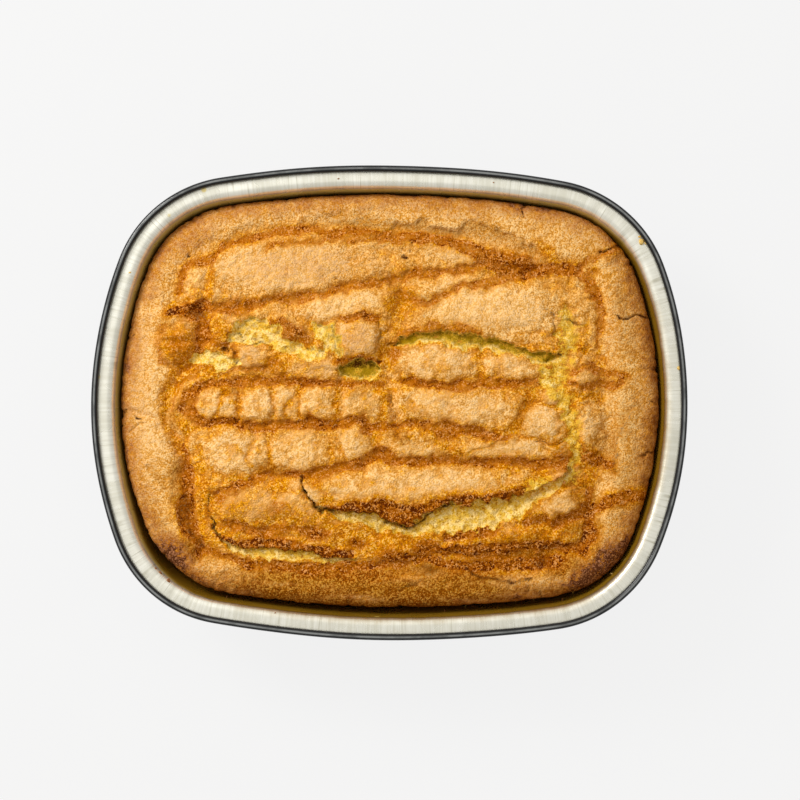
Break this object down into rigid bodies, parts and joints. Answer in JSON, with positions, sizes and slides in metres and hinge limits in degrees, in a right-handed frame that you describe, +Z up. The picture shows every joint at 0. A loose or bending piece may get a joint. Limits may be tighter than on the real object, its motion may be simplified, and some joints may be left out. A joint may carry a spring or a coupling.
{
  "type": "cornbread in a foil tin",
  "caption": "Rectangular golden cornbread with a craggy torn crust and caramel streaks, in its own shallow foil tin with rounded corners and a curled black rim.",
  "frame": {"origin": "middle of the tin's footprint, on the plane it stands on", "axes": "+X along the long side, +Y towards the back as the picture shows it, +Z up"},
  "size_m": [0.222, 0.1768, 0.0439],
  "materials": {
    "crust": "matte",
    "foil": "satin",
    "black_lacquer": "gloss"
  },
  "bodies": {
    "root": {"cornbread": "crust", "foil_tin": "foil"}
  },
  "joints": []
}
